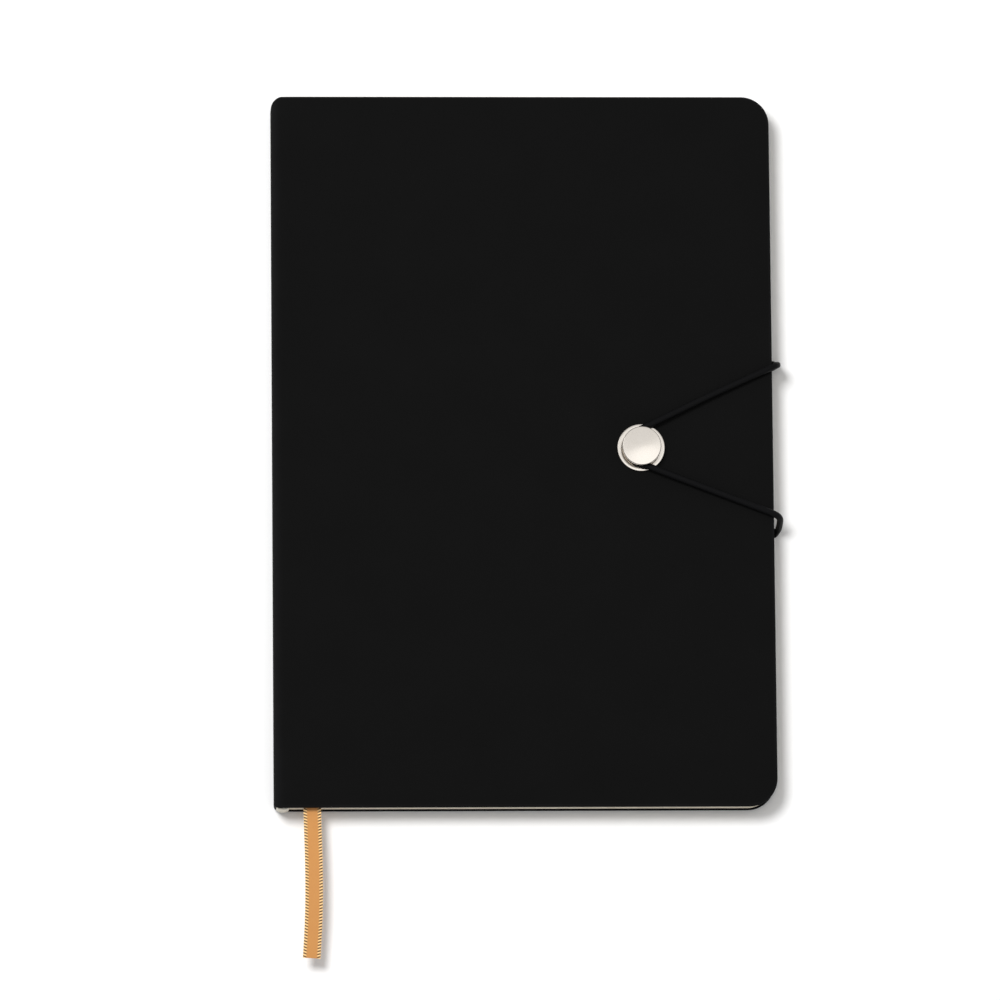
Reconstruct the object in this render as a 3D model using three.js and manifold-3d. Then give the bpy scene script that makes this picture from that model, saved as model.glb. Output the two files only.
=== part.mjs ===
// A soft-cover A5 notebook, closed and lying on its back cover, in millimetres.
// +X runs from the spine to the fore edge, +Y to the head of the book and +Z out of the front
// cover. The origin is the middle of the back cover's outer face.

import * as THREE from 'three';
import { mergeVertices } from 'three/addons/utils/BufferGeometryUtils.js';
import Module from 'manifold-3d';

const wasm = await Module();
wasm.setup();

// the closed book
const bookWidth = 146.4;
const bookHeight = 210;
const bookThickness = 11;
const cornerRadius = 8.2;
const leastCornerRadius = 3;
const layerGap = 0.05;

// one cover, measured inward from its outer face
const leatherThickness = 0.7;
const boardThickness = 0.5;
const turnInThickness = 0.4;
const turnInWidth = 13;
const rimWidth = 0.8;
const pastedownThickness = 0.15;
const pastedownInset = 3;
const hingeInset = 1.5;

// the spine
const stiffenerThickness = 0.4;
const liningThickness = 0.25;
const liningX = -71;

// the pages
const sectionCount = 9;
const turningSections = 1;
const flyleafThickness = 0.15;
const blockX = -70.65;
const foreEdgeInset = 0.8;
const headInset = 0.5;
const pageCornerRadius = 7.6;
const bandX = -72;
const bandThickness = 0.7;
const bandWidth = 3;

// the ribbon lies between the first and second sections
const ribbonWidth = 5.2;
const ribbonThickness = 0.3;
const ribbonRoom = 0.4;

// the button
const buttonX = 34.45;
const buttonY = 0.4;
const baseRadius = 6.95;
const baseThickness = 0.9;
const neckRadius = 3;
const neckHeight = 2.25;
const capRadius = 5.68;
const capThickness = 1.6;
const shankRadius = 1.2;
const shankHoleRadius = 1.35;
const rivetPlateRadius = 4.2;
const rivetPlateThickness = 0.37;

// the elastic
const elasticDiameter = 1.9;
const elasticSides = 8;
const elasticSteps = 80;
const anchorY = { upper: 26.3, lower: -23.4 };
const anchorWidth = 4.2;
const anchorLength = 15;
const anchorRoom = 0.3;

const roundSegments = 48;
const cornerSegments = 4;
const halfWidth = bookWidth / 2;
const halfHeight = bookHeight / 2;
const hingeX = -halfWidth + hingeInset;

// levels of a cover's layers, from its outer face inward
const boardLevel = leatherThickness + layerGap;
const turnInLevel = boardLevel + boardThickness + layerGap;
const pastedownLevel = turnInLevel + turnInThickness + layerGap;
const coverThickness = pastedownLevel + pastedownThickness;

const finishes = {
  leather: { color: 0x17181a, roughness: 0.62, metalness: 0 },
  card: { color: 0x8c8577, roughness: 0.95, metalness: 0 },
  endpaper: { color: 0xe6dcc0, roughness: 0.9, metalness: 0 },
  pages: { color: 0xeee6cf, roughness: 0.95, metalness: 0 },
  cloth: { color: 0xd9d2c2, roughness: 0.95, metalness: 0 },
  band: { color: 0xece7da, roughness: 0.8, metalness: 0 },
  ribbon: { color: 0xcf8f55, roughness: 0.45, metalness: 0 },
  nickel: { color: 0xd6cfc6, roughness: 0.28, metalness: 1 },
  elastic: { color: 0x1b1b1d, roughness: 0.8, metalness: 0 },
};

const group = new THREE.Group();

function add(name, finish, geometry) {
  const material = new THREE.MeshStandardMaterial({ ...finishes[finish], flatShading: true });
  const mesh = new THREE.Mesh(geometry, material);
  mesh.name = name;
  group.add(mesh);
}

function toSolid(geometry) {
  geometry.deleteAttribute('normal');
  geometry.deleteAttribute('uv');
  const merged = mergeVertices(geometry, 1e-5);
  const vertProperties = new Float32Array(merged.attributes.position.array);
  const triVerts = new Uint32Array(merged.index.array);
  return new wasm.Manifold(new wasm.Mesh({ numProp: 3, vertProperties, triVerts }));
}

function toGeometry(solid) {
  const mesh = solid.getMesh();
  const geometry = new THREE.BufferGeometry();
  geometry.setAttribute('position', new THREE.BufferAttribute(mesh.vertProperties, 3));
  geometry.setIndex(new THREE.BufferAttribute(mesh.triVerts, 1));
  return geometry;
}

// a flat slab of the given outline between two heights
function slab(outline, low, high) {
  const options = { depth: high - low, bevelEnabled: false, curveSegments: cornerSegments };
  return new THREE.ExtrudeGeometry(outline, options).translate(0, 0, low);
}

// a leaf's outline: square at the spine, round at the two fore-edge corners
function leafOutline(left, right, top, radius) {
  const outline = new THREE.Shape();
  outline.moveTo(left, top);
  outline.lineTo(left, -top);
  outline.absarc(right - radius, -top + radius, radius, -Math.PI / 2, 0, false);
  outline.absarc(right - radius, top - radius, radius, 0, Math.PI / 2, false);
  return outline;
}

// a cover's outline, drawn in by an inset on its three free sides
function coverOutline(inset, left = hingeX) {
  const radius = Math.max(cornerRadius - inset, leastCornerRadius);
  return leafOutline(left, halfWidth - inset, halfHeight - inset, radius);
}

function block(x0, x1, y0, y1, z0, z1) {
  const box = new THREE.BoxGeometry(x1 - x0, y1 - y0, z1 - z0);
  return box.translate((x0 + x1) / 2, (y0 + y1) / 2, (z0 + z1) / 2);
}

function rod(radius, z0, z1) {
  const cylinder = new THREE.CylinderGeometry(radius, radius, z1 - z0, roundSegments);
  return cylinder.rotateX(Math.PI / 2).translate(buttonX, buttonY, (z0 + z1) / 2);
}

// heights in the front cover are measured down from the book's top face
function levels(side, outer, inner) {
  return side === 'back' ? [outer, inner] : [bookThickness - inner, bookThickness - outer];
}

// leather turned in over the board: a slab with a slot for the board and a window over it
function coverLeather(side) {
  const past = hingeX - 5;
  let leather = toSolid(slab(coverOutline(0), ...levels(side, 0, turnInLevel + turnInThickness)));
  const slot = slab(coverOutline(rimWidth, past), ...levels(side, leatherThickness, turnInLevel));
  const window = slab(coverOutline(turnInWidth, past), ...levels(side, boardLevel, coverThickness));
  leather = leather.subtract(toSolid(slot)).subtract(toSolid(window));
  if (side === 'front') {
    const hole = rod(shankHoleRadius, bookThickness - coverThickness, bookThickness + 1);
    leather = leather.subtract(toSolid(hole));
  } else {
    for (const y of Object.values(anchorY)) {
      leather = leather.subtract(toSolid(anchorSlot(y)));
    }
  }
  return toGeometry(leather);
}

// flexible card, full thickness where no leather is turned in over it
function coverBoard(side) {
  const full = coverOutline(rimWidth + layerGap);
  const thin = slab(full, ...levels(side, boardLevel, boardLevel + boardThickness));
  const raised = coverOutline(turnInWidth + layerGap * 4);
  const middle = boardLevel + boardThickness / 2;
  const top = turnInLevel + turnInThickness - layerGap;
  let board = toSolid(thin).add(toSolid(slab(raised, ...levels(side, middle, top))));
  if (side === 'front') {
    const seat = bookThickness - turnInLevel + layerGap;
    const pocket = rod(rivetPlateRadius + anchorRoom, seat - 1, seat);
    const hole = rod(shankHoleRadius, seat - 1, bookThickness);
    board = board.subtract(toSolid(pocket)).subtract(toSolid(hole));
  } else {
    for (const y of Object.values(anchorY)) {
      board = board.subtract(toSolid(anchorSlot(y)));
    }
  }
  return toGeometry(board);
}

function pastedown(side) {
  return slab(coverOutline(pastedownInset), ...levels(side, pastedownLevel, coverThickness));
}

// the slot in board and leather that takes one flattened end of the elastic
function anchorSlot(y) {
  const half = anchorWidth / 2 + anchorRoom;
  const inner = halfWidth - anchorLength - anchorRoom;
  return block(inner, halfWidth + 1, y - half, y + half, leatherThickness, turnInLevel);
}

function anchor(y) {
  const half = anchorWidth / 2;
  const low = leatherThickness + layerGap;
  const high = turnInLevel - layerGap;
  return block(halfWidth - anchorLength, halfWidth, y - half, y + half, low, high);
}

function spineLeather() {
  const left = -halfWidth;
  const side = [hingeInset, bookThickness - hingeInset];
  return block(left, left + leatherThickness, -halfHeight, halfHeight, ...side);
}

function spineStiffener() {
  const left = -halfWidth + leatherThickness + layerGap;
  const end = hingeInset + layerGap * 2;
  const half = halfHeight - rimWidth;
  return block(left, left + stiffenerThickness, -half, half, end, bookThickness - end);
}

function pageSlab(low, thickness) {
  const right = halfWidth - foreEdgeInset;
  const outline = leafOutline(blockX, right, halfHeight - headInset, pageCornerRadius);
  return slab(outline, low, low + thickness);
}

// page levels from the back cover up: flyleaf, sections, ribbon, turning sections, flyleaf
const pagesLow = coverThickness + layerGap;
const pagesHigh = bookThickness - coverThickness - layerGap;
const pageGaps = sectionCount * layerGap + ribbonRoom;
const sectionThickness = (pagesHigh - pagesLow - 2 * flyleafThickness - pageGaps) / sectionCount;
const firstSectionLevel = pagesLow + flyleafThickness + layerGap;

// sections are numbered from the front cover, so number sectionCount lies lowest
function sectionLevel(number) {
  const below = sectionCount - number;
  const ribbonLift = number <= turningSections ? ribbonRoom - layerGap : 0;
  return firstSectionLevel + below * (sectionThickness + layerGap) + ribbonLift;
}

const ribbonLevel = sectionLevel(turningSections) - ribbonRoom / 2;

function spineLining() {
  const half = halfHeight - headInset - 4;
  const top = ribbonLevel - ribbonRoom / 2;
  return block(liningX, liningX + liningThickness, -half, half, pagesLow, top);
}

// a bead over the ends of the sections at the spine, at the head (+1) or the tail (-1)
function endBand(end) {
  const radius = bandWidth / 2;
  const near = halfHeight - headInset + layerGap;
  const outline = new THREE.Shape();
  outline.moveTo(bandX, near);
  outline.lineTo(bandX + bandWidth, near);
  outline.absellipse(bandX + radius, near, radius, bandThickness, 0, Math.PI, false);
  const bead = slab(outline, pagesLow, pagesHigh);
  return end > 0 ? bead : bead.rotateX(Math.PI).translate(0, 0, pagesLow + pagesHigh);
}

// ring or solid of revolution on the button's axis, from [radius, height] pairs
function turned(profile) {
  const points = profile.map(([r, z]) => new THREE.Vector2(r, z));
  const lathe = new THREE.LatheGeometry(points, roundSegments);
  return lathe.rotateX(Math.PI / 2).translate(buttonX, buttonY, 0);
}

const baseLow = bookThickness + layerGap;
const baseHigh = baseLow + baseThickness;
const neckLow = baseHigh + layerGap;
const neckHigh = neckLow + neckHeight;
const capLow = neckHigh + layerGap;
const capHigh = capLow + capThickness;

function buttonBase() {
  const r = baseRadius;
  return turned([
    [shankHoleRadius, baseLow],
    [r - 0.3, baseLow],
    [r, baseLow + 0.25],
    [r, baseHigh - 0.45],
    [r - 0.15, baseHigh - 0.2],
    [r - 0.5, baseHigh - 0.05],
    [r - 1.2, baseHigh],
    [shankHoleRadius, baseHigh],
    [shankHoleRadius, baseLow],
  ]);
}

function buttonNeck() {
  return turned([
    [shankHoleRadius, neckLow],
    [neckRadius, neckLow],
    [neckRadius, neckHigh],
    [shankHoleRadius, neckHigh],
    [shankHoleRadius, neckLow],
  ]);
}

function buttonCap() {
  const r = capRadius;
  const blind = capLow + capThickness * 0.55;
  return turned([
    [0, blind],
    [shankHoleRadius, blind],
    [shankHoleRadius, capLow],
    [r - 0.5, capLow],
    [r - 0.1, capLow + 0.25],
    [r, capLow + 0.6],
    [r - 0.1, capLow + 1],
    [r - 0.5, capHigh - 0.3],
    [r - 1.4, capHigh - 0.12],
    [r - 3, capHigh - 0.03],
    [0, capHigh],
  ]);
}

function buttonRivet() {
  const plateHigh = bookThickness - turnInLevel;
  const plateLow = plateHigh - rivetPlateThickness;
  const tip = capLow + capThickness * 0.5;
  return turned([
    [0, plateLow],
    [rivetPlateRadius, plateLow],
    [rivetPlateRadius, plateHigh],
    [shankRadius, plateHigh],
    [shankRadius, tip],
    [0, tip],
  ]);
}

// the elastic's centreline, from the slot nearer the head, up round the fore edge, across the
// front cover, round the button's neck and back the same way to the other slot
const elasticRoute = [
  [73.6, 26.3, 1.15],
  [74.2, 26.3, 1.2],
  [74.8, 26.1, 2.9],
  [75.0, 25.8, 5.8],
  [74.95, 25.4, 8.3],
  [74.75, 25.05, 10.3],
  [74.15, 24.65, 11.55],
  [73.0, 24.05, 12.2],
  [71, 23.15, 12.3],
  [64, 19.95, 12.4],
  [54, 15.3, 12.6],
  [44, 10.4, 12.85],
  [37, 6.95, 13.05],
  [32.7, 4.7, 13.1],
  [30.98, 2.6, 13.1],
  [30.33, 0.4, 13.1],
  [30.98, -1.8, 13.1],
  [33, -4.0, 13.1],
  [37, -5.5, 13.05],
  [44, -8.2, 12.85],
  [54, -12.0, 12.6],
  [64, -15.8, 12.4],
  [71, -18.45, 12.3],
  [73.0, -19.25, 12.2],
  [74.2, -19.85, 11.55],
  [74.95, -20.5, 10.2],
  [75.1, -21.2, 8.2],
  [75.1, -21.9, 5.8],
  [74.9, -22.8, 2.9],
  [74.2, -23.4, 1.2],
  [73.6, -23.4, 1.15],
];

function sweep(outline, route, steps) {
  const points = route.map((p) => new THREE.Vector3(...p));
  const extrudePath = new THREE.CatmullRomCurve3(points, false, 'centripetal');
  return new THREE.ExtrudeGeometry(outline, { steps, extrudePath, curveSegments: 1 });
}

function elasticCord() {
  const outline = new THREE.Shape();
  for (let n = 0; n < elasticSides; n += 1) {
    const angle = (2 * Math.PI * (n + 0.5)) / elasticSides;
    const x = (elasticDiameter / 2) * Math.cos(angle);
    const y = (elasticDiameter / 2) * Math.sin(angle);
    if (n === 0) outline.moveTo(x, y);
    else outline.lineTo(x, y);
  }
  return sweep(outline, elasticRoute, elasticSteps);
}

// the ribbon's centreline, from its glued end at the head of the spine, down between two
// sections and out past the tail, where its stiff end stands clear of the surface below
const ribbonRoute = [
  [-67.4, 101, ribbonLevel],
  [-67.0, 92, ribbonLevel],
  [-66.2, 70, ribbonLevel],
  [-65.2, 40, ribbonLevel],
  [-64.2, 5, ribbonLevel],
  [-63.2, -35, ribbonLevel],
  [-62.4, -75, ribbonLevel],
  [-62.15, -98, ribbonLevel],
  [-62.1, -104.6, ribbonLevel],
  [-62.05, -107.5, 8.1],
  [-61.95, -112, 8.45],
  [-61.75, -120, 8.85],
  [-61.7, -128, 8.9],
  [-61.8, -135, 8.7],
  [-62.1, -142, 8.3],
  [-62.5, -148.5, 7.8],
];

function ribbonBookmark() {
  const outline = new THREE.Shape();
  outline.moveTo(-ribbonThickness / 2, -ribbonWidth / 2);
  outline.lineTo(ribbonThickness / 2, -ribbonWidth / 2);
  outline.lineTo(ribbonThickness / 2, ribbonWidth / 2);
  outline.lineTo(-ribbonThickness / 2, ribbonWidth / 2);
  return sweep(outline, ribbonRoute, 60);
}

for (const side of ['back', 'front']) {
  add(`${side}_cover_leather`, 'leather', coverLeather(side));
  add(`${side}_cover_board`, 'card', coverBoard(side));
  add(`${side}_pastedown`, 'endpaper', pastedown(side));
}
for (const [place, y] of Object.entries(anchorY)) {
  add(`elastic_anchor_${place}`, 'elastic', anchor(y));
}
add('spine_leather', 'leather', spineLeather());
add('spine_stiffener', 'card', spineStiffener());
add('spine_lining', 'cloth', spineLining());
add('headband', 'band', endBand(1));
add('tailband', 'band', endBand(-1));
add('back_flyleaf', 'endpaper', pageSlab(pagesLow, flyleafThickness));
for (let number = 1; number <= sectionCount; number += 1) {
  add(`section_0${number}`, 'pages', pageSlab(sectionLevel(number), sectionThickness));
}
add('front_flyleaf', 'endpaper', pageSlab(pagesHigh - flyleafThickness, flyleafThickness));
add('ribbon_bookmark', 'ribbon', ribbonBookmark());
add('button_base', 'nickel', buttonBase());
add('button_neck', 'nickel', buttonNeck());
add('button_cap', 'nickel', buttonCap());
add('button_rivet', 'nickel', buttonRivet());
add('elastic_cord', 'elastic', elasticCord());

export default group;
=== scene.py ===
# A closed soft-cover notebook with a button, an elastic cord and a ribbon, lying on its back cover.
# Lengths in the dictionaries are millimetres; the scene is in metres. +X runs from the spine to the
# fore edge, +Y to the head and +Z out of the front cover.
import math
import bpy
import numpy as np
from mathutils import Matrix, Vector


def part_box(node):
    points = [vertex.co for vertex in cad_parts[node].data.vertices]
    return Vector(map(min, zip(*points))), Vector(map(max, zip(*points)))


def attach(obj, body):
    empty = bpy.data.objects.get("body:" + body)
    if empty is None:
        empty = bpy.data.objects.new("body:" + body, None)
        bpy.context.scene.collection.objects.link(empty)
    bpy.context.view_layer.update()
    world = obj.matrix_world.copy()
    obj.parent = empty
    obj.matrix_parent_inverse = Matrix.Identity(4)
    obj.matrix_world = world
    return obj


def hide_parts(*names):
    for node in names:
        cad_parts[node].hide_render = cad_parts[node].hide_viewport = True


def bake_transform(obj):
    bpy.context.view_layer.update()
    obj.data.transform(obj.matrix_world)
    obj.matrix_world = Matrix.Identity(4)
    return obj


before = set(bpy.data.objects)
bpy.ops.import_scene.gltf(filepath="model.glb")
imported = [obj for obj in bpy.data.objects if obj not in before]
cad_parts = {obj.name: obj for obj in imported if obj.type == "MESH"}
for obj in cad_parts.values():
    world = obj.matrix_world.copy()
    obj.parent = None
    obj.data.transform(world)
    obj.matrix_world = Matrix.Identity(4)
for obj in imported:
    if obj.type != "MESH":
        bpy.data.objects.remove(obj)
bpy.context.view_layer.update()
mm = 0.001
rng = np.random.default_rng(7)
pointsPerSpan = 24  # between two of a route's points
print("frame loaded")


# camera, lights and floor
studio = {
    "cameraPlace": (-0.1308, -0.3938, 2.4775),
    "cameraTilt": (8.747, -2.798, -0.504),  # degrees
    "lens": 308.37,
    "sensor": 36.0,
    "nearest": 0.1,
    "furthest": 50.0,
    "floorSize": 24.0,
    "floorLevel": -0.00005,
    "keyTilt": (-18.0, 13.0),  # degrees from straight up, towards -X and +Y
    "keyDistance": 1.5,
    "keySize": 0.5,
    "keyPower": 17.3,  # watts
    "panels": {  # place, size, watts
        "overheadPanel": ((0.06, 0.06, 1.2), (0.6, 1.08), 0.92),
        "tailPanel": ((0.06, -0.17, 1.19), (0.6, 0.62), 0.64),
        "glintPanel": ((-0.453, 0.322, 1.393), (0.44, 0.44), 0.97),
    },
    "skyStrength": 0.44,
    "sky": "#ffffff",
    "floorColour": "#f4f4f4",
}


def toLinear(hexColour):
    values = [int(hexColour[n:n + 2], 16) / 255 for n in (1, 3, 5)]
    return [v / 12.92 if v <= 0.04045 else ((v + 0.055) / 1.055) ** 2.4 for v in values] + [1.0]


def addNode(tree, kind, sockets=None, **settings):
    node = tree.nodes.new("ShaderNode" + kind)
    for name, value in settings.items():
        setattr(node, name, value)
    for name, value in (sockets or {}).items():
        if isinstance(value, bpy.types.NodeSocket):
            tree.links.new(value, node.inputs[name])
        else:
            node.inputs[name].default_value = value
    return node


def newMaterial(name):
    material = bpy.data.materials.new(name)
    material.use_nodes = True
    material.node_tree.nodes.clear()
    return material, material.node_tree


def finishMaterial(tree, **sockets):
    shader = addNode(tree, "BsdfPrincipled", {k.replace("_", " "): v for k, v in sockets.items()})
    addNode(tree, "OutputMaterial", {"Surface": shader.outputs[0]})
    return shader


def mixColours(tree, amount, first, second):
    stops = {"Factor": amount, 6: first, 7: second}
    return addNode(tree, "Mix", stops, data_type="RGBA").outputs[2]


def addLamp(name, shape, place, size, power):
    light = bpy.data.lights.new(name, "AREA")
    light.shape = shape
    light.size, light.size_y = size
    light.energy = power
    lamp = bpy.data.objects.new(name, light)
    lamp.location = place
    lamp.rotation_euler = place.normalized().to_track_quat("Z", "Y").to_euler()
    lamp.visible_camera = False
    bpy.context.scene.collection.objects.link(lamp)
    return lamp


def setUpStudio():
    camera = bpy.data.cameras.new("camera")
    camera.lens = studio["lens"]
    camera.sensor_width = studio["sensor"]
    camera.clip_start = studio["nearest"]
    camera.clip_end = studio["furthest"]
    holder = bpy.data.objects.new("camera", camera)
    holder.location = studio["cameraPlace"]
    holder.rotation_euler = [math.radians(a) for a in studio["cameraTilt"]]
    bpy.context.scene.collection.objects.link(holder)
    bpy.context.scene.camera = holder

    across, along = [math.tan(math.radians(a)) for a in studio["keyTilt"]]
    towards = Vector((across, along, 1)).normalized()
    place = towards * studio["keyDistance"]
    key = addLamp("keySoftbox", "DISK", place, (studio["keySize"], 0), studio["keyPower"])
    key.visible_glossy = False  # the weak glint panel in its place shows in the metal instead
    # two more panels overhead shade the button from dark at the head to light at the tail
    for name, (place, size, power) in studio["panels"].items():
        addLamp(name, "RECTANGLE", Vector(place), size, power)

    world = bpy.data.worlds.new("paleRoom")
    world.use_nodes = True
    world.node_tree.nodes.clear()
    light = addNode(world.node_tree, "Background",
                    {"Color": toLinear(studio["sky"]), "Strength": studio["skyStrength"]})
    addNode(world.node_tree, "OutputWorld", {"Surface": light.outputs[0]})
    bpy.context.scene.world = world
    bpy.context.scene.view_settings.view_transform = "Standard"

    half = studio["floorSize"] / 2
    level = studio["floorLevel"]
    corners = [(-half, -half, level), (half, -half, level), (half, half, level), (-half, half, level)]
    floor = addPiece("floor", corners, [(0, 1, 2, 3)], paintedFloor())
    print("studio set up")


def paintedFloor():
    # matt painted board: an even pale ground that takes a soft shadow
    material, tree = newMaterial("mattPaintedBoard")
    finishMaterial(tree, Base_Color=toLinear(studio["floorColour"]), Roughness=0.9, IOR=1.45)
    return material


def addPiece(name, points, faces, material, smooth=True, sharpAngle=40, flat=None, marks=None):
    mesh = bpy.data.meshes.new(name)
    mesh.from_pydata([tuple(map(float, p)) for p in points], [], faces)
    mesh.validate()
    mesh.update()
    if smooth:
        mesh.shade_smooth()
        mesh.set_sharp_from_angle(angle=math.radians(sharpAngle))
    if flat is not None:  # each point's place on the material laid flat, in metres
        layer = mesh.uv_layers.new(name="flat")
        corners = np.zeros(len(mesh.loops), np.int32)
        mesh.loops.foreach_get("vertex_index", corners)
        layer.data.foreach_set("uv", np.asarray(flat, np.float32)[corners].ravel())
    for mark, values in (marks or {}).items():
        layer = mesh.attributes.new(mark, "FLOAT", "POINT")
        layer.data.foreach_set("value", np.asarray(values, np.float32))
    mesh.materials.append(material)
    piece = bpy.data.objects.new(name, mesh)
    bpy.context.scene.collection.objects.link(piece)
    return piece


def dressNode(node, material):
    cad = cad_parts[node]
    cad.data.materials.clear()
    cad.data.materials.append(material)


def smoothStep(x):
    x = np.clip(x, 0, 1)
    return x * x * (3 - 2 * x)


# a smooth curve through points, as a centripetal Catmull-Rom spline
def smoothRoute(points, perSpan):
    p = np.array(points, float)
    ends = [2 * p[0] - p[1], *p, 2 * p[-1] - p[-2]]
    out = []
    for a, b, c, d in zip(ends, ends[1:], ends[2:], ends[3:]):
        gaps = [max(np.linalg.norm(v - u) ** 0.5, 1e-9) for u, v in ((a, b), (b, c), (c, d))]
        t = np.cumsum([0] + gaps)
        for x in np.linspace(t[1], t[2], perSpan, endpoint=False):
            ab = (t[1] - x) / (t[1] - t[0]) * a + (x - t[0]) / (t[1] - t[0]) * b
            bc = (t[2] - x) / (t[2] - t[1]) * b + (x - t[1]) / (t[2] - t[1]) * c
            cd = (t[3] - x) / (t[3] - t[2]) * c + (x - t[2]) / (t[3] - t[2]) * d
            abc = (t[2] - x) / (t[2] - t[0]) * ab + (x - t[0]) / (t[2] - t[0]) * bc
            bcd = (t[3] - x) / (t[3] - t[1]) * bc + (x - t[1]) / (t[3] - t[1]) * cd
            out.append((t[2] - x) / (t[2] - t[1]) * abc + (x - t[1]) / (t[2] - t[1]) * bcd)
    return np.array(out + [p[-1]])


def lengthsAlong(points):
    return np.concatenate([[0], np.cumsum(np.linalg.norm(np.diff(points, axis=0), axis=1))])


def evenly(points, places):
    along = lengthsAlong(points)
    return np.column_stack([np.interp(places, along, points[:, n]) for n in range(3)])


# directions to the side and up, carried along a route without twisting
def framesAlong(points, firstSide):
    tangents = np.gradient(points, axis=0)
    tangents /= np.linalg.norm(tangents, axis=1)[:, None]
    side = np.array(firstSide, float)
    sides = []
    for t in tangents:
        side = side - t * (side @ t)
        side /= np.linalg.norm(side)
        sides.append(side)
    return np.array(sides), np.cross(tangents, sides)


# joins rings of equal count into a closed skin with a cap at each end
def tubeFaces(rings, around):
    faces = []
    for r in range(rings - 1):
        for n in range(around):
            m = (n + 1) % around
            faces.append((r * around + n, r * around + m, (r + 1) * around + m, (r + 1) * around + n))
    faces.append(tuple(reversed(range(around))))
    faces.append(tuple((rings - 1) * around + n for n in range(around)))
    return faces


# the elastic cord: rubber core under a braided cover, flattened where it enters the back cover
elastic = {
    "diameter": 1.9,
    "around": 40,
    "step": 0.17,
    "strands": 8,
    "strandHeight": 0.022,
    "turnLength": 7.5,
    "flatHalfWidth": 1.7,
    "flatHalfThickness": 0.3,
    "flatEnds": (1.0, 6.5),  # flat up to the first length, round from the second
    "colour": "#080809",
    # the strands' crests are painted lighter than the hollows between them: painted shade in the braid
    "crest": "#0d0d0e",
    "yarn": 0.09,
    "stub": 2.4,  # carried on inside the cover's edge
    "route": [
        (0.0736, 0.0263, 0.00115), (0.0742, 0.0263, 0.0012), (0.0748, 0.0261, 0.0029),
        (0.075, 0.0258, 0.0058), (0.07495, 0.0254, 0.0083), (0.07475, 0.02505, 0.0103),
        (0.07415, 0.02465, 0.01155), (0.073, 0.02405, 0.0122), (0.071, 0.02315, 0.0123),
        (0.064, 0.01995, 0.0124), (0.054, 0.0153, 0.0126), (0.044, 0.0104, 0.01285),
        (0.037, 0.00695, 0.01305), (0.0327, 0.0047, 0.0131), (0.03098, 0.0026, 0.0131),
        (0.03033, 0.0004, 0.0131), (0.03098, -0.0018, 0.0131), (0.033, -0.004, 0.0131),
        (0.037, -0.0055, 0.01305), (0.044, -0.0082, 0.01285), (0.054, -0.012, 0.0126),
        (0.064, -0.0158, 0.0124), (0.071, -0.01845, 0.0123), (0.073, -0.01925, 0.0122),
        (0.0742, -0.01985, 0.01155), (0.07495, -0.0205, 0.0102), (0.0751, -0.0212, 0.0082),
        (0.0751, -0.0219, 0.0058), (0.0749, -0.0228, 0.0029), (0.0742, -0.0234, 0.0012),
        (0.0736, -0.0234, 0.00115),
    ],
}


def braidedCover():
    # polyester braid over rubber: matt black with a soft line of sheen along the top
    material, tree = newMaterial("braidedPolyester")
    crest = addNode(tree, "Attribute", attribute_name="crest").outputs["Fac"]
    place = addNode(tree, "UVMap", uv_map="flat").outputs["UV"]
    scale = 1 / (elastic["yarn"] * mm)
    fibres = addNode(tree, "TexNoise", {"Vector": place, "Scale": scale, "Detail": 3})
    # painted shade: the hollows between the raised strands darker, their crests lighter
    colour = mixColours(tree, crest, toLinear(elastic["colour"]), toLinear(elastic["crest"]))
    relief = addNode(tree, "Bump", {"Height": fibres.outputs["Fac"], "Strength": 0.5, "Distance": 0.00002})
    finishMaterial(tree, Base_Color=colour, Roughness=0.6, IOR=1.5, Specular_IOR_Level=0.1,
                   Normal=relief.outputs[0])
    return material


def makeElastic():
    e = elastic
    upper, lower = e["route"][0], e["route"][-1]
    start = (upper[0] - e["stub"] * mm, *upper[1:])
    end = (lower[0] - e["stub"] * mm, *lower[1:])
    line = smoothRoute([start, *e["route"], end], pointsPerSpan)
    total = lengthsAlong(line)[-1]
    rings = int(total / (e["step"] * mm))
    places = np.linspace(0, total, rings)
    centre = evenly(line, places)
    sides, ups = framesAlong(centre, (0, 1, 0))
    fromEnd = np.minimum(places, total - places)
    flatTo, roundFrom = [v * mm for v in e["flatEnds"]]
    roundness = smoothStep((fromEnd - flatTo) / (roundFrom - flatTo))
    radius = e["diameter"] / 2 * mm
    wide = e["flatHalfWidth"] * mm * (1 - roundness) + radius * roundness
    thick = e["flatHalfThickness"] * mm * (1 - roundness) + radius * roundness
    angle = np.linspace(0, 2 * math.pi, e["around"], endpoint=False)
    turn = 2 * math.pi * places[:, None] / (e["turnLength"] * mm)
    one = np.cos(e["strands"] * (angle[None, :] + turn))
    other = np.cos(e["strands"] * (angle[None, :] - turn))
    crest = np.maximum(one, other) * 0.5 + 0.5
    lift = (crest - 1) * e["strandHeight"] * mm * 2 * roundness[:, None]
    points = (centre[:, None, :]
              + sides[:, None, :] * (np.cos(angle)[None, :] * (wide[:, None] + lift))[:, :, None]
              + ups[:, None, :] * (np.sin(angle)[None, :] * (thick[:, None] + lift))[:, :, None])
    flat = np.column_stack([np.tile(angle * radius, rings), np.repeat(places, e["around"])])
    piece = addPiece("elastic_loop", points.reshape(-1, 3), tubeFaces(rings, e["around"]),
                     braidedCover(), flat=flat, marks={"crest": crest.ravel()})
    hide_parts("elastic_cord")
    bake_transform(piece)
    print("elastic made,", round(total, 4), "m long")


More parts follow.
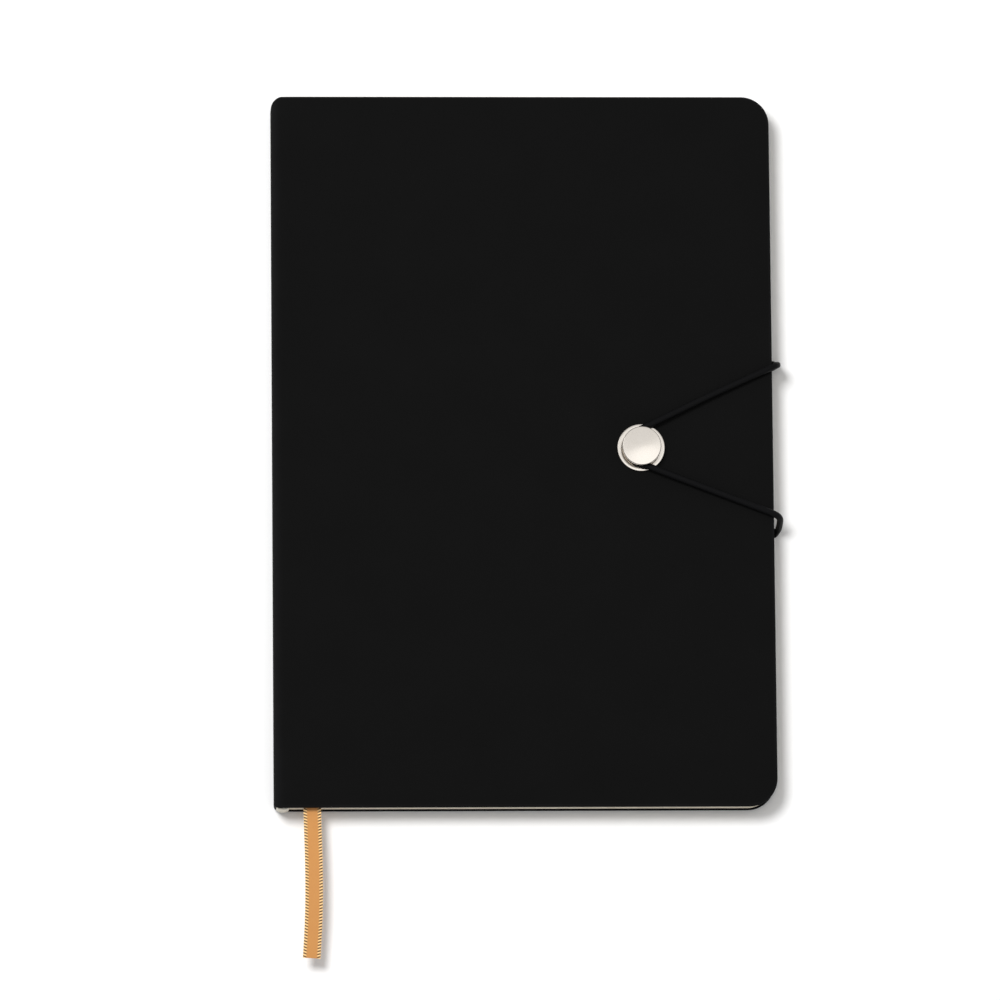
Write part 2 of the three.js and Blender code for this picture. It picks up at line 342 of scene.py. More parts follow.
# the ribbon: satin between two rope-like selvedges
ribbon = {
    "width": 5.2,
    "thickness": 0.24,
    "selvedge": 1.15,
    "bumpPitch": 0.88,
    "bumpHeight": 0.17,
    "bumpSlant": 0.45,  # how much of a pitch a bump leans by across its selvedge
    "scallop": 0.1,
    "edgeInset": 0.1,  # how far inside the scallops the straight edge runs
    "fadeIn": 2.0,  # length over which the bumps start
    "warpThread": 0.12,
    "warpLength": 0.12,  # the pattern's scale along the threads against that across them
    "cloudWidth": 4.0,
    "fineStep": 0.11,
    "coarseStep": 2.0,
    "fineFrom": 194.0,  # length along the ribbon at which the fine mesh starts
    "columns": 34,
    "colour": "#c88e4d",
    "cloud": "#c38648",
    "warpShade": "#b57b41",
    # painted highlight on the selvedge loops and painted shade between them
    "light": "#f8cd8e",
    "dark": "#452509",
    "route": [
        (-0.0674, 0.101, 0.00799), (-0.067, 0.092, 0.00799), (-0.0662, 0.07, 0.00799),
        (-0.0652, 0.04, 0.00799), (-0.0642, 0.005, 0.00799), (-0.0632, -0.035, 0.00799),
        (-0.0624, -0.075, 0.00799), (-0.06215, -0.098, 0.00799), (-0.0621, -0.1046, 0.00799),
        (-0.06205, -0.1075, 0.0081), (-0.06195, -0.112, 0.00845), (-0.06175, -0.12, 0.00885),
        (-0.0617, -0.128, 0.0089), (-0.0618, -0.135, 0.0087), (-0.0621, -0.142, 0.0083),
        (-0.0625, -0.1485, 0.0078),
    ],
}


def satinRibbon():
    # woven polyester satin: a smooth, softly shining face, with thick twisted edge threads painted light on
    # their loops and dark between them, painted highlight and painted shade
    material, tree = newMaterial("satinWovenPolyester")
    r = ribbon
    place = addNode(tree, "UVMap", uv_map="flat").outputs["UV"]
    crest = addNode(tree, "Attribute", attribute_name="crest").outputs["Fac"]
    edge = addNode(tree, "Attribute", attribute_name="selvedge").outputs["Fac"]
    stretched = addNode(tree, "Mapping", {"Vector": place, "Scale": (1, r["warpLength"], 1)}).outputs[0]
    threads = addNode(tree, "TexNoise", {
        "Vector": stretched, "Scale": 1 / (r["warpThread"] * mm), "Detail": 3})
    cloud = addNode(tree, "TexNoise", {"Vector": place, "Scale": 1 / (r["cloudWidth"] * mm), "Detail": 2})
    face = mixColours(tree, cloud.outputs["Fac"], toLinear(r["cloud"]), toLinear(r["colour"]))
    shading = addNode(tree, "MapRange", {
        "Value": threads.outputs["Fac"], "From Min": 0.35, "From Max": 0.65, "To Min": 0.0, "To Max": 0.25})
    face = mixColours(tree, shading.outputs[0], face, toLinear(r["warpShade"]))
    # painted highlight and shade: the selvedge is light on its loops' crests and dark between them
    loops = addNode(tree, "MapRange", {"Value": crest, "From Min": 0.2, "From Max": 0.7}).outputs[0]
    rope = mixColours(tree, loops, toLinear(r["dark"]), toLinear(r["light"]))
    colour = mixColours(tree, edge, face, rope)
    relief = addNode(tree, "Bump", {
        "Height": threads.outputs["Fac"], "Strength": 0.35, "Distance": 0.00003})
    finishMaterial(tree, Base_Color=colour, Roughness=0.42, IOR=1.5, Specular_IOR_Level=0.4,
                   Sheen_Weight=0.15, Sheen_Roughness=0.4, Normal=relief.outputs[0])
    return material


def makeRibbon():
    r = ribbon
    line = smoothRoute(r["route"], pointsPerSpan)
    total = lengthsAlong(line)[-1]
    first = r["fineFrom"] * mm
    fineCount = int((total - first) / (r["fineStep"] * mm))
    coarse = np.arange(0, first, r["coarseStep"] * mm)
    places = np.concatenate([coarse, np.linspace(first, total, fineCount)])
    centre = evenly(line, places)
    sides, ups = framesAlong(centre, (-1, 0, 0))
    half = r["width"] / 2 * mm
    # the face's columns are close together in the selvedges
    u = np.linspace(-1, 1, r["columns"])
    u = np.sign(u) * (1 - (1 - np.abs(u)) ** 1.35)
    selvedge = r["selvedge"] * mm
    outward = np.clip((np.abs(u) * half - (half - selvedge)) / selvedge, 0, 1)
    phase = places[:, None] / (r["bumpPitch"] * mm) + outward[None, :] * r["bumpSlant"]
    wave = np.cos(2 * math.pi * phase) * 0.5 + 0.5
    shape = np.sin(math.pi * np.clip(outward * 1.05, 0, 1)) ** 0.6
    fine = np.clip((places - first) / (r["fadeIn"] * mm), 0, 1)[:, None]
    lift = wave * shape[None, :] * r["bumpHeight"] * mm * fine
    scallop = r["scallop"] * mm * fine * wave * (np.abs(u)[None, :] ** 8)
    halfThick = r["thickness"] / 2 * mm * (1 - 0.45 * np.abs(u) ** 10)[None, :]
    across = np.sign(u)[None, :] * scallop + (u * (half - r["edgeInset"] * mm))[None, :]
    middle = centre[:, None, :] + sides[:, None, :] * across[:, :, None]
    top = middle + ups[:, None, :] * (halfThick + lift)[:, :, None]
    under = (middle - ups[:, None, :] * halfThick[:, :, None])[:, ::-1]
    points = np.concatenate([top, under], axis=1)
    around = points.shape[1]
    flatU = np.concatenate([u * half, u[::-1] * half])
    flat = np.column_stack([np.tile(flatU, len(places)), np.repeat(places, around)])
    crest = np.concatenate([wave, wave[:, ::-1]], axis=1)
    edge = np.clip(outward * 3, 0, 1)
    edge = np.tile(np.concatenate([edge, edge[::-1]]), len(places))
    faces = [tuple(reversed(f)) for f in tubeFaces(len(places), around)]
    piece = addPiece("ribbon_bookmark_woven", points.reshape(-1, 3), faces, satinRibbon(),
                     flat=flat, marks={"crest": crest.ravel(), "selvedge": edge})
    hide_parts("ribbon_bookmark")
    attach(piece, "back_and_pages")
    print("ribbon made,", round(total, 4), "m long")


setUpStudio()
makeElastic()
makeRibbon()


# the cover: leather turned in over card, with one skin for each half of the book, meeting along
# the middle of the spine
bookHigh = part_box("front_cover_leather")[1]
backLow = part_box("back_cover_leather")[0]
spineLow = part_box("spine_leather")[0]
cover = {
    "left": spineLow.x / mm,
    "right": bookHigh.x / mm,
    "half": bookHigh.y / mm,
    "height": (bookHigh.z - backLow.z) / mm,
    "corner": 8.2,
    "spineRadius": 3.0,
    "leather": 0.7,
    "spineTurnIn": (0.74, 1.14),  # depths of the turn-in where there is no board under it
    "panelTurnIn": (1.3, 1.7),
    "leastCorner": 3.0,
    "headPinch": (3.6, 2.6),  # how far along X and Y the spine's corner is drawn in
    "tailPinch": (1.4, 0.7),
    "pebble": 0.62,
    "pore": 0.22,
    "cloudWidth": 18.0,
    "flatColumns": 56,
    "arcColumns": 12,
    "cornerColumns": 14,
    "rows": 84,
    "colour": "#101010",
    "shade": "#0e0e0e",
    # the painted highlight's colour, for the rolled edges and the spine's corners
    "edgeHighlightColour": "#171718",
    # (inset, depth) of the loops round a cover's edge: over the roll, under the turn-in and back
    "edgeLoops": [
        (0.52, 0.03), (0.27, 0.13), (0.09, 0.32), (0.0, 0.58), (0.0, 1.12), (0.09, 1.38), (0.27, 1.57),
        (0.52, 1.67), (0.9, 1.7), (3.5, 1.7), (7.5, 1.7), (12.9, 1.69), (13.0, 1.62), (13.0, 1.36),
        (12.9, 1.3), (5.0, 1.3), (0.95, 1.3), (0.82, 1.2), (0.8, 1.0), (0.82, 0.8),
    ],
}
arcStart = cover["height"] / 2 - cover["spineRadius"]
arcLength = cover["spineRadius"] * math.pi / 2
flatStart = arcStart + arcLength
flatLeft = cover["left"] + cover["spineRadius"]


# the closed book's section, from a length round the outside and a depth into the cover, for the
# front half; the back half is its mirror image
def sectionPoint(s, depth):
    r = cover["spineRadius"]
    top = cover["height"]
    angle = np.clip((s - arcStart) / r, 0, math.pi / 2)
    x = cover["left"] + r - (r - depth) * np.cos(angle) + np.maximum(s - flatStart, 0)
    z = top - r + (r - depth) * np.sin(angle) + np.minimum(s - arcStart, 0)
    return x, z


# a depth as drawn for the panel, squeezed at the spine, where the board is missing
def depthAt(s, depth):
    low, high = cover["spineTurnIn"]
    panelLow, panelHigh = cover["panelTurnIn"]
    leatherDepth = cover["leather"]
    spineDepth = np.interp(depth, [0, leatherDepth, panelLow, panelHigh], [0, leatherDepth, low, high])
    weight = smoothStep((s - arcStart) / arcLength)
    beyond = max(depth - panelHigh, 0)
    return spineDepth * (1 - weight) + min(depth, panelHigh) * weight + beyond


# the head's or tail's edge over the spine is drawn in towards the middle
def pinchAt(x, pinch):
    reach, drop = pinch
    t = np.clip((cover["left"] + reach - x) / reach, 0, 1)
    return drop * (1 - np.sqrt(1 - t * t))


# columns of a half cover drawn in by an inset: lengths round the outside, and the Y of both ends
def columnsAt(inset):
    radius = max(cover["corner"] - inset, cover["leastCorner"])
    right = cover["right"] - inset - radius
    end = right - flatLeft + flatStart
    straight = np.linspace(0, arcStart, 3)[:-1]
    arc = np.linspace(arcStart, flatStart, cover["arcColumns"])[:-1]
    panel = np.linspace(flatStart, end, cover["flatColumns"])
    turn = np.linspace(0, math.pi / 2, cover["cornerColumns"])[1:]
    s = np.concatenate([straight, arc, panel, end + radius * np.sin(turn)])
    drop = np.concatenate([np.zeros(len(s) - len(turn)), radius * (1 - np.cos(turn))])
    x, _ = sectionPoint(s, np.zeros_like(s))
    head = cover["half"] - inset - drop - pinchAt(x, cover["headPinch"])
    tail = -(cover["half"] - inset - drop - pinchAt(x, cover["tailPinch"]))
    return s, tail, head


# points of a sheet at one depth, drawn in by an inset: a grid of columns by rows
def sheetGrid(inset, depth):
    s, tail, head = columnsAt(inset)
    rows = np.linspace(0, 1, cover["rows"] + 1)
    y = tail[:, None] + (head - tail)[:, None] * rows[None, :]
    x, z = sectionPoint(s, depthAt(s, depth))
    flat = np.stack([np.repeat(s[:, None], len(rows), axis=1), y], axis=2)
    return np.stack([np.repeat(x[:, None], len(rows), axis=1), y,
                     np.repeat(z[:, None], len(rows), axis=1)], axis=2), flat


# the grid's free edge: along the tail, up the fore edge, and back along the head
def freeEdge(grid):
    return np.concatenate([grid[:, 0], grid[-1, 1:-1], grid[::-1, -1]])


# a closed skin: an outer grid, loops round its free edge, and an inner grid; each is an inset and
# a depth
def skinMesh(outer, loops, inner):
    grids = [sheetGrid(*outer), sheetGrid(*inner)]
    columns, rows = grids[0][0].shape[:2]
    points = [grids[0][0].reshape(-1, 3), grids[1][0].reshape(-1, 3)]
    flats = [grids[0][1].reshape(-1, 2), grids[1][1].reshape(-1, 2)]
    number = np.arange(columns * rows).reshape(columns, rows)
    inside = number + columns * rows
    faces = []
    for c in range(columns - 1):
        for r in range(rows - 1):
            a, b, d, e = number[c, r], number[c + 1, r], number[c + 1, r + 1], number[c, r + 1]
            faces.append((a, b, d, e))
            a, b, d, e = inside[c, r], inside[c + 1, r], inside[c + 1, r + 1], inside[c, r + 1]
            faces.append((a, e, d, b))
    rings = [freeEdge(number[:, :, None])[:, 0]]
    used = 2 * columns * rows
    for loop in loops:
        ring, flat = [freeEdge(grid) for grid in sheetGrid(*loop)]
        points.append(ring)
        flats.append(flat)
        rings.append(np.arange(used, used + len(ring)))
        used += len(ring)
    rings.append(freeEdge(inside[:, :, None])[:, 0])
    for one, two in zip(rings, rings[1:]):
        for n in range(len(one) - 1):
            faces.append((one[n + 1], one[n], two[n], two[n + 1]))
    # the end along the middle of the spine
    for r in range(rows - 1):
        faces.append((number[0, r], number[0, r + 1], inside[0, r + 1], inside[0, r]))
    faces.append(tuple(ring[0] for ring in reversed(rings)))
    faces.append(tuple(ring[-1] for ring in rings))
    faces = [tuple(int(v) for v in face) for face in faces]
    return np.concatenate(points), faces, np.concatenate(flats), columns * rows


def mirrorToBack(points, faces):
    turned = points.copy()
    turned[:, 2] = cover["height"] - turned[:, 2]
    return turned, [tuple(reversed(f)) for f in faces]


def softTouchLeather():
    # bonded leather with a soft-touch polyurethane finish: near black, matt, with a fine pebble
    # pressed into it, and a painted highlight along the rolled edges and the spine's corners
    material, tree = newMaterial("softTouchBondedLeather")
    place = addNode(tree, "UVMap", uv_map="flat").outputs["UV"]
    edgeHighlight = addNode(tree, "Attribute", attribute_name="edgeHighlight").outputs["Fac"]
    scales = {name: 1 / (cover[name] * mm) for name in ("pebble", "pore", "cloudWidth")}
    pebble = addNode(tree, "TexVoronoi", {"Vector": place, "Scale": scales["pebble"], "Randomness": 0.9},
                     feature="DISTANCE_TO_EDGE", voronoi_dimensions="2D")
    crease = addNode(tree, "MapRange", {
        "Value": pebble.outputs["Distance"], "From Min": 0.0, "From Max": 0.16})
    pores = addNode(tree, "TexNoise", {
        "Vector": place, "Scale": scales["pore"], "Detail": 3, "Roughness": 0.6}, noise_dimensions="2D")
    cloud = addNode(tree, "TexNoise", {
        "Vector": place, "Scale": scales["cloudWidth"], "Detail": 4}, noise_dimensions="2D")
    height = addNode(tree, "Math", {0: crease.outputs[0], 1: pores.outputs["Fac"]}, operation="ADD")
    relief = addNode(tree, "Bump", {"Height": height.outputs[0], "Strength": 0.35, "Distance": 0.00003})
    colour = mixColours(tree, cloud.outputs["Fac"], toLinear(cover["shade"]), toLinear(cover["colour"]))
    # painted highlight: the colour is lightened along the rolled edges and the spine's corners
    edgeHighlightAmount = addNode(tree, "Math", {0: edgeHighlight, 1: cloud.outputs["Fac"]}, operation="MULTIPLY")
    colour = mixColours(tree, edgeHighlightAmount.outputs[0], colour, toLinear(cover["edgeHighlightColour"]))
    gloss = addNode(tree, "MapRange", {"Value": pores.outputs["Fac"], "From Min": 0.3, "From Max": 0.7,
                                       "To Min": 0.8, "To Max": 0.68})
    finishMaterial(tree, Base_Color=colour, Roughness=gloss.outputs[0], IOR=1.5, Specular_IOR_Level=0.05,
                   Normal=relief.outputs[0])
    return material


leather = softTouchLeather()

def makeSkins():
    points, faces, flat, gridCount = skinMesh((0.9, 0.0), cover["edgeLoops"], (0.95, 0.7))
    s, y = flat[:, 0], flat[:, 1]
    # painted highlight along the rolled edges and the two long corners of the spine
    edge = np.zeros(len(points))
    edge[2 * gridCount:] = 0.8
    edge = np.maximum(edge, 0.9 * np.exp(-((s - (arcStart + arcLength / 2)) / 1.6) ** 2))
    edge[gridCount:2 * gridCount] = 0
    front = addPiece("front_cover_skin", points * mm, faces, leather, flat=flat * mm, marks={"edgeHighlight": edge},
                     sharpAngle=50)
    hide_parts("front_cover_leather")
    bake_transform(front)
    points, faces = mirrorToBack(points, faces)
    flat = np.column_stack([-s, y])
    back = addPiece("back_cover_skin", points * mm, faces, leather, flat=flat * mm, marks={"edgeHighlight": edge},
                    sharpAngle=50)
    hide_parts("back_cover_leather", "spine_leather")
    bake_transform(back)
    print("cover skins made")


makeSkins()


# endpapers: a sheet pasted inside each cover and on round the inside of the spine
endpaper = {
    "inset": 3.0,
    "depth": 1.75,
    "thickness": 0.12,
    "fibre": 0.7,  # drawn coarser than real fibres so that they show
    "cloudWidth": 20.0,
    "colour": "#ebe3cf",
    "shade": "#e5dcc6",
}


def laidPaper():
    # uncoated ivory endpaper: warm, matt, with faint fibres
    material, tree = newMaterial("uncoatedIvoryPaper")
    place = addNode(tree, "UVMap", uv_map="flat").outputs["UV"]
    scale = 1 / (endpaper["fibre"] * mm)
    fibres = addNode(tree, "TexNoise", {"Vector": place, "Scale": scale, "Detail": 6, "Roughness": 0.7})
    scale = 1 / (endpaper["cloudWidth"] * mm)
    cloud = addNode(tree, "TexNoise", {"Vector": place, "Scale": scale, "Detail": 3})
    factors = {0: fibres.outputs["Fac"], 1: cloud.outputs["Fac"]}
    amount = addNode(tree, "Math", factors, operation="MULTIPLY")
    spread = addNode(tree, "MapRange", {"Value": amount.outputs[0], "From Min": 0.12, "From Max": 0.4})
    colour = mixColours(tree, spread.outputs[0], toLinear(endpaper["shade"]), toLinear(endpaper["colour"]))
    relief = addNode(tree, "Bump", {"Height": fibres.outputs["Fac"], "Strength": 0.25, "Distance": 0.00003})
    finishMaterial(tree, Base_Color=colour, Roughness=0.88, IOR=1.45, Specular_IOR_Level=0.3,
                   Normal=relief.outputs[0])
    return material


ivory = laidPaper()


def makeEndpapers():
    e = endpaper
    outer = (e["inset"], e["depth"])
    inner = (e["inset"], e["depth"] + e["thickness"])
    points, faces, flat, _ = skinMesh(outer, [], inner)
    front = addPiece("front_endpaper", points * mm, faces, ivory, flat=flat * mm)
    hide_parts("front_pastedown")
    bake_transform(front)
    points, faces = mirrorToBack(points, faces)
    back = addPiece("back_endpaper", points * mm, faces, ivory, flat=flat * mm)
    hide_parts("back_pastedown")
    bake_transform(back)
    print("endpapers made")


makeEndpapers()


# the outline of a leaf or card: square at the spine, round at the two fore-edge corners
def leafOutline(left, right, tail, head, radius, steps=9):
    turn = np.linspace(0, math.pi / 2, steps)
    low = [(right - radius + radius * math.sin(a), tail + radius - radius * math.cos(a)) for a in turn]
    high = [(right - radius + radius * math.cos(a), head - radius + radius * math.sin(a)) for a in turn]
    return [(left, tail), *low, *high, (left, head)]


# a closed slab of one outline between two heights, appended to lists of points and faces
def addSlab(points, faces, outline, low, high):
    first, count = len(points), len(outline)
    points += [(x, y, low) for x, y in outline] + [(x, y, high) for x, y in outline]
    faces.append(tuple(first + n for n in reversed(range(count))))
    faces.append(tuple(first + count + n for n in range(count)))
    for n in range(count):
        m = (n + 1) % count
        faces.append((first + n, first + m, first + count + m, first + count + n))


# the book block: sections of folded leaves, trimmed together
block = {
    "leaves": 8,
    "leafShare": 0.93,  # of the pitch from leaf to leaf
    "corner": 7.6,
    "trim": 0.05,  # how far the leaves' edges differ
    "foldDepth": 0.34,
    "fibre": 0.6,  # drawn coarser than real fibres so that they show
    "edgePitch": 0.16,  # two leaves
    "edgeLength": 0.04,  # the streaks' scale along a leaf's edge against that across it
    "colour": "#ece6da",
    "shade": "#ded6c6",
    "flyleaf": 0.1,
}


def bookPaper():
    # cream offset paper: warm and matt, with streaks of painted shade between the leaves in the cut edges
    material, tree = newMaterial("creamOffsetPaper")
    place = addNode(tree, "TexCoord").outputs["Object"]
    scale = 1 / (block["fibre"] * mm)
    fibres = addNode(tree, "TexNoise", {"Vector": place, "Scale": scale, "Detail": 5, "Roughness": 0.65})
    long = block["edgeLength"]
    streak = addNode(tree, "Mapping", {"Vector": place, "Scale": (long, long, 1)}).outputs[0]
    scale = 1 / (block["edgePitch"] * mm)
    # streaks of painted shade between the leaves, along the cut edges
    edges = addNode(tree, "TexNoise", {"Vector": streak, "Scale": scale, "Detail": 2})
    factors = {0: fibres.outputs["Fac"], 1: edges.outputs["Fac"]}
    amount = addNode(tree, "Math", factors, operation="MULTIPLY")
    spread = addNode(tree, "MapRange", {"Value": amount.outputs[0], "From Min": 0.14, "From Max": 0.36})
    colour = mixColours(tree, spread.outputs[0], toLinear(block["shade"]), toLinear(block["colour"]))
    relief = addNode(tree, "Bump", {"Height": fibres.outputs["Fac"], "Strength": 0.2, "Distance": 0.00002})
    finishMaterial(tree, Base_Color=colour, Roughness=0.92, IOR=1.45, Specular_IOR_Level=0.25,
                   Normal=relief.outputs[0])
    return material


paper = bookPaper()


def makeBlock():
    b = block
    for number in range(1, 10):
        node = f"section_0{number}"
        low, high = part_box(node)
        pitch = (high.z - low.z) / b["leaves"]
        points, faces = [], []
        for leaf in range(b["leaves"]):
            shift = rng.uniform(-1, 1, 3) * b["trim"] * mm
            across = (leaf + 0.5) / b["leaves"] * 2 - 1
            fold = b["foldDepth"] * mm * (1 - math.sqrt(1 - across * across))
            outline = leafOutline(low.x + fold, high.x + shift[0], low.y + shift[1], high.y + shift[2],
                                  b["corner"] * mm)
            base = low.z + pitch * leaf
            addSlab(points, faces, outline, base, base + pitch * b["leafShare"])
        piece = addPiece(f"{node}_leaves", points, faces, paper, smooth=False)
        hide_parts(node)
        body = "section_01" if number == 1 else "back_and_pages"
        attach(piece, body)
    for side, body in (("front", "front_flyleaf"), ("back", "back_and_pages")):
        node = f"{side}_flyleaf"
        low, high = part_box(node)
        points, faces = [], []
        middle = (low.z + high.z) / 2
        outline = leafOutline(low.x, high.x, low.y, high.y, b["corner"] * mm, 14)
        addSlab(points, faces, outline, middle - b["flyleaf"] / 2 * mm, middle + b["flyleaf"] / 2 * mm)
        piece = addPiece(f"{node}_sheet", points, faces, ivory, smooth=False,
                         flat=[(x, y) for x, y, _ in points])
        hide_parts(node)
        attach(piece, body)
    print("book block made")


makeBlock()


# the card inside each cover and behind the spine
stiffening = {
    "inset": 0.95,
    "levels": (0.75, 1.25),
    "raisedInset": 13.4,
    "raisedLevel": 1.66,
    "corner": 7.2,
    "raisedCorner": 3.0,
    "spineHalf": 91.5,
    "spineSkin": 1.4,  # how far inside its stand-in the spine's strip lies
    "hingeGap": 0.3,  # from the spine's curve to the edge of a board
    "fleck": 0.9,
    "shade": "#7d7668",
    "colour": "#a29a89",
}


def greyBoard():
    # solid grey board pressed from waste paper: dull, with flecks
    material, tree = newMaterial("pressedGreyBoard")
    place = addNode(tree, "TexCoord").outputs["Object"]
    c = stiffening
    scale = 1 / (c["fleck"] * mm)
    flecks = addNode(tree, "TexNoise", {"Vector": place, "Scale": scale, "Detail": 6, "Roughness": 0.75})
    spread = addNode(tree, "MapRange", {"Value": flecks.outputs["Fac"], "From Min": 0.35, "From Max": 0.65})
    colour = mixColours(tree, spread.outputs[0], toLinear(c["shade"]), toLinear(c["colour"]))
    relief = addNode(tree, "Bump", {"Height": flecks.outputs["Fac"], "Strength": 0.4, "Distance": 0.00005})
    finishMaterial(tree, Base_Color=colour, Roughness=0.95, IOR=1.45, Normal=relief.outputs[0])
    return material


card = greyBoard()


def makeCards():
    c = stiffening
    for side, body in (("front", "front_cover"), ("back", "back_and_pages")):
        points, faces = [], []
        left = flatLeft + c["hingeGap"]
        inset = c["inset"]
        edges = (left, cover["right"] - inset, inset - cover["half"], cover["half"] - inset)
        addSlab(points, faces, leafOutline(*edges, c["corner"]), *c["levels"])
        more = c["raisedInset"]
        edges = (left, cover["right"] - more, more - cover["half"], cover["half"] - more)
        addSlab(points, faces, leafOutline(*edges, c["raisedCorner"]), c["levels"][1], c["raisedLevel"])
        points = np.array(points)
        if side == "front":
            points, faces = mirrorToBack(points, faces)
        piece = addPiece(f"{side}_board_card", points * mm, faces, card, smooth=False)
        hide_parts(f"{side}_cover_board")
        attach(piece, body)
    low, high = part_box("spine_stiffener")
    half = c["spineHalf"] * mm
    points, faces = [], []
    strip = [(low.x, -half), (high.x, -half), (high.x, half), (low.x, half)]
    addSlab(points, faces, strip, low.z + c["spineSkin"] * mm, high.z - c["spineSkin"] * mm)
    piece = addPiece("spine_insert_card", points, faces, card, smooth=False)
    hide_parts("spine_stiffener")
    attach(piece, "spine")
    print("cards made")


makeCards()


# the bands sewn over the ends of the sections at the spine
band = {
    # from left to right, the headband is squashed down behind the sections by the turned-in corner,
    # and the tailband is spread out over the ends of the sections
    "reach": {"headband": (-72.0, -70.72), "tailband": (-72.4, -68.8)},
    "near": {"headband": 103.3, "tailband": -104.56},
    "headTop": 5.7,  # stays under the first section when that is turned over
    "rise": 0.9,
    "threadPitch": 0.5,
    "threadHeight": 0.07,
    "around": 22,
    "step": 0.08,
    "fibre": 0.12,
    "colour": "#e9e4d8",
    "shade": "#c9c2b2",
}


def cottonThread():
    # mercerised cotton wound over a core: off-white, with shade between the turns
    material, tree = newMaterial("mercerisedCotton")
    crest = addNode(tree, "Attribute", attribute_name="crest").outputs["Fac"]
    place = addNode(tree, "TexCoord").outputs["Object"]
    fibres = addNode(tree, "TexNoise", {"Vector": place, "Scale": 1 / (band["fibre"] * mm), "Detail": 4})
    colour = mixColours(tree, crest, toLinear(band["shade"]), toLinear(band["colour"]))
    relief = addNode(tree, "Bump", {"Height": fibres.outputs["Fac"], "Strength": 0.4, "Distance": 0.00003})
    finishMaterial(tree, Base_Color=colour, Roughness=0.7, IOR=1.53, Specular_IOR_Level=0.35,
                   Normal=relief.outputs[0])
    return material


def makeBands():
    b = band
    cotton = cottonThread()
    for node, end in (("headband", 1), ("tailband", -1)):
        low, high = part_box(node)
        top = min(high.z, b["headTop"] * mm) if end > 0 else high.z
        levels = np.arange(low.z, top, b["step"] * mm)
        angle = np.linspace(0, 2 * math.pi, b["around"], endpoint=False)
        left, right = [v * mm for v in b["reach"][node]]
        near = b["near"][node] * mm
        wide = (right - left) / 2
        rise = b["rise"] * mm
        points, crests = [], []
        for z in levels:
            for a in angle:
                crest = math.cos(2 * math.pi * z / (b["threadPitch"] * mm) + a) * 0.5 + 0.5
                grow = 1 + crest * b["threadHeight"] / b["rise"]
                x = left + wide + wide * 0.96 * math.cos(a) * grow
                y = near + end * max(rise * 0.92 * math.sin(a) * grow, 0)
                points.append((x, y, z))
                crests.append(crest)
        faces = tubeFaces(len(levels), b["around"])
        if end < 0:
            faces = [tuple(reversed(f)) for f in faces]
        piece = addPiece(f"{node}_sewn", points, faces, cotton, marks={"crest": crests})
        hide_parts(node)
        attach(piece, "back_and_pages")
    print("bands made")


makeBands()


# the button: a base with a rolled rim, a neck and a slightly domed cap, turned round one axis; its
# profiles are radii and heights
baseLow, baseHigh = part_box("button_base")
button = {
    "x": (baseLow.x + baseHigh.x) / 2 / mm,
    "y": (baseLow.y + baseHigh.y) / 2 / mm,
    "level": cover["height"],
    "segments": 144,
    "hazeWidth": 3.5,
    "tumbleMark": 0.12,
    "colour": "#e3ddd5",
    "haze": "#ddd6cd",
    "base": [
        (0, 0.02), (6.3, 0.02), (6.72, 0.08), (6.92, 0.24), (6.95, 0.6), (6.94, 0.76), (6.9, 0.84),
        (6.83, 0.885), (6.72, 0.9), (6.4, 0.898), (5.5, 0.885), (4.5, 0.88), (0, 0.88),
    ],
    "neck": [
        (0, 0.9), (3.5, 0.9), (3.2, 0.95), (3.02, 1.09), (3.0, 1.3), (3.0, 2.9), (3.08, 3.12),
        (3.3, 3.24), (0, 3.24),
    ],
    "cap": [
        (0, 3.28), (4.9, 3.28), (5.35, 3.33), (5.58, 3.48), (5.68, 3.75), (5.68, 4.5), (5.66, 4.6),
        (5.61, 4.67), (5.54, 4.71), (5.45, 4.725), (5.3, 4.73), (4.7, 4.745), (4.0, 4.77), (3.0, 4.805),
        (2.0, 4.835), (1.0, 4.855), (0, 4.865),
    ],
}


def platedNickel():
    # nickel plate over steel, tumbled to a satin polish: warm grey, with soft wide highlights
    material, tree = newMaterial("satinNickelPlate")
    place = addNode(tree, "TexCoord").outputs["Object"]
    scale = 1 / (button["hazeWidth"] * mm)
    haze = addNode(tree, "TexNoise", {"Vector": place, "Scale": scale, "Detail": 3})
    scale = 1 / (button["tumbleMark"] * mm)
    grit = addNode(tree, "TexNoise", {"Vector": place, "Scale": scale, "Detail": 2})
    gloss = addNode(tree, "MapRange", {"Value": haze.outputs["Fac"], "From Min": 0.3, "From Max": 0.7,
                                       "To Min": 0.12, "To Max": 0.15})
    colour = mixColours(tree, haze.outputs["Fac"], toLinear(button["haze"]), toLinear(button["colour"]))
    relief = addNode(tree, "Bump", {"Height": grit.outputs["Fac"], "Strength": 0.05, "Distance": 0.00001})
    finishMaterial(tree, Base_Color=colour, Metallic=1.0, Roughness=gloss.outputs[0],
                   Normal=relief.outputs[0])
    return material


def turnedPiece(name, profile, material):
    b = button
    points, faces, rings = [], [], []
    for radius, height in profile:
        if radius == 0:
            rings.append([len(points)])
            points.append((b["x"], b["y"], b["level"] + height))
            continue
        rings.append(list(range(len(points), len(points) + b["segments"])))
        for n in range(b["segments"]):
            a = 2 * math.pi * n / b["segments"]
            across, along = radius * math.cos(a), radius * math.sin(a)
            points.append((b["x"] + across, b["y"] + along, b["level"] + height))
    for one, two in zip(rings, rings[1:]):
        for n in range(b["segments"]):
            m = (n + 1) % b["segments"]
            if len(one) == 1:
                faces.append((one[0], two[m], two[n]))
            elif len(two) == 1:
                faces.append((one[n], one[m], two[0]))
            else:
                faces.append((one[n], one[m], two[m], two[n]))
    return addPiece(name, np.array(points) * mm, faces, material, sharpAngle=60)


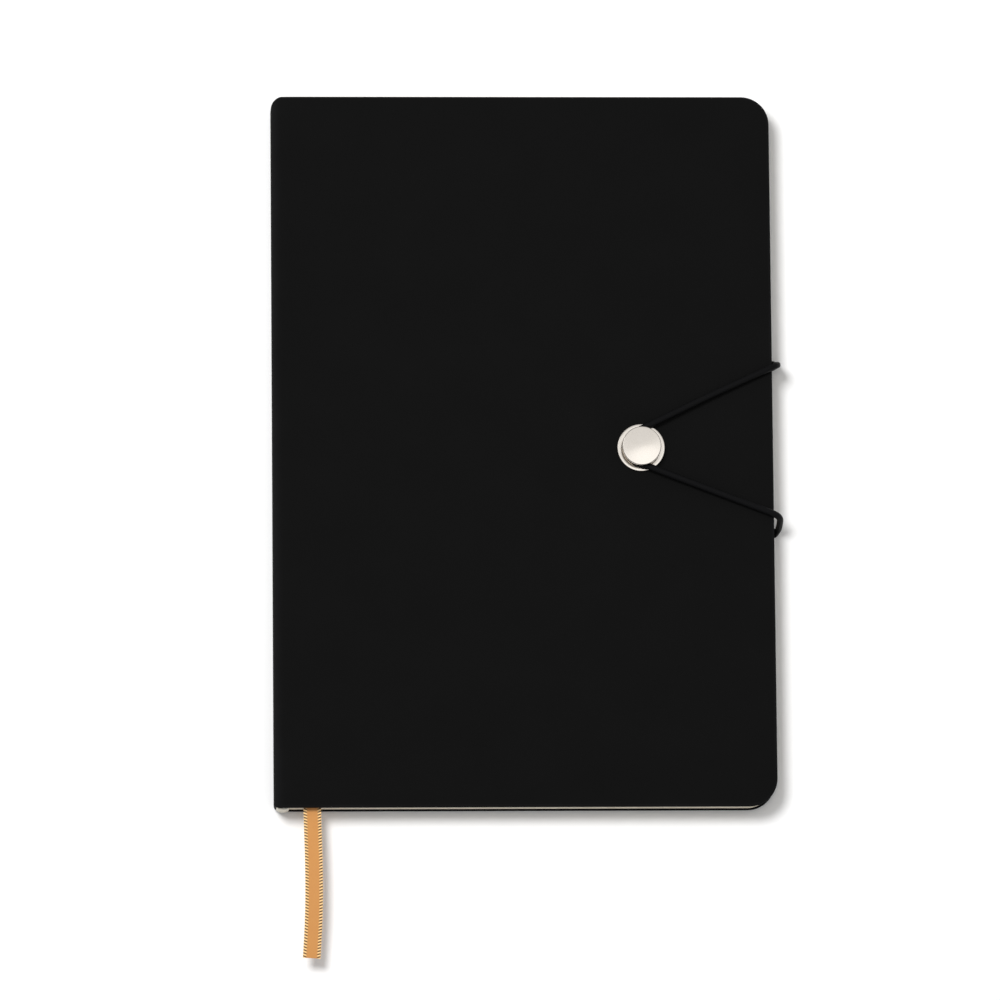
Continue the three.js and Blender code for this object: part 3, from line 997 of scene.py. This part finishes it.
def makeButton():
    nickel = platedNickel()
    for part in ("base", "neck", "cap"):
        piece = turnedPiece(f"button_{part}_turned", button[part], nickel)
        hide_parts(f"button_{part}")
        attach(piece, "front_cover")
    dressNode("button_rivet", nickel)
    print("button made")


makeButton()


# the cloth glued over the backs of the sections
lining = {
    "threadPitch": 0.9,  # drawn coarser than real threads so that they show
    "shade": "#b3a88e",
    "colour": "#ddd5c3",
}


def openWeaveMull():
    # starched cotton mull: an open weave, pale and dull, drawn darker in the gaps between its threads
    material, tree = newMaterial("starchedCottonMull")
    place = addNode(tree, "TexCoord").outputs["Object"]
    scale = 2 * math.pi / (lining["threadPitch"] * mm) / 20  # a wave texture runs 20 radians per unit
    waves = []
    for axis in ("Y", "Z"):
        threads = addNode(tree, "TexWave", {
            "Vector": place, "Scale": scale, "Distortion": 0.6, "Detail": 1.0,
        }, wave_type="BANDS", bands_direction=axis)
        waves.append(threads.outputs["Fac"])
    weave = addNode(tree, "Math", {0: waves[0], 1: waves[1]}, operation="MAXIMUM")
    colour = mixColours(tree, weave.outputs[0], toLinear(lining["shade"]), toLinear(lining["colour"]))
    relief = addNode(tree, "Bump", {"Height": weave.outputs[0], "Strength": 0.6, "Distance": 0.0001})
    finishMaterial(tree, Base_Color=colour, Roughness=0.93, IOR=1.5, Normal=relief.outputs[0])
    return material


# the flat ends of the elastic, glued between leather and card
anchor = {
    "yarn": 0.3,
    "shade": "#0e0e0f",
    "colour": "#1c1c1d",
}


def wovenTape():
    # polyester braid pressed flat and soaked with glue: dull black
    material, tree = newMaterial("pressedBraid")
    place = addNode(tree, "TexCoord").outputs["Object"]
    yarns = addNode(tree, "TexNoise", {"Vector": place, "Scale": 1 / (anchor["yarn"] * mm), "Detail": 3})
    colour = mixColours(tree, yarns.outputs["Fac"], toLinear(anchor["shade"]), toLinear(anchor["colour"]))
    relief = addNode(tree, "Bump", {"Height": yarns.outputs["Fac"], "Strength": 0.5, "Distance": 0.00005})
    finishMaterial(tree, Base_Color=colour, Roughness=0.75, IOR=1.5, Normal=relief.outputs[0])
    return material


dressNode("spine_lining", openWeaveMull())
tape = wovenTape()
for place in ("upper", "lower"):
    dressNode(f"elastic_anchor_{place}", tape)
print("remaining nodes dressed")
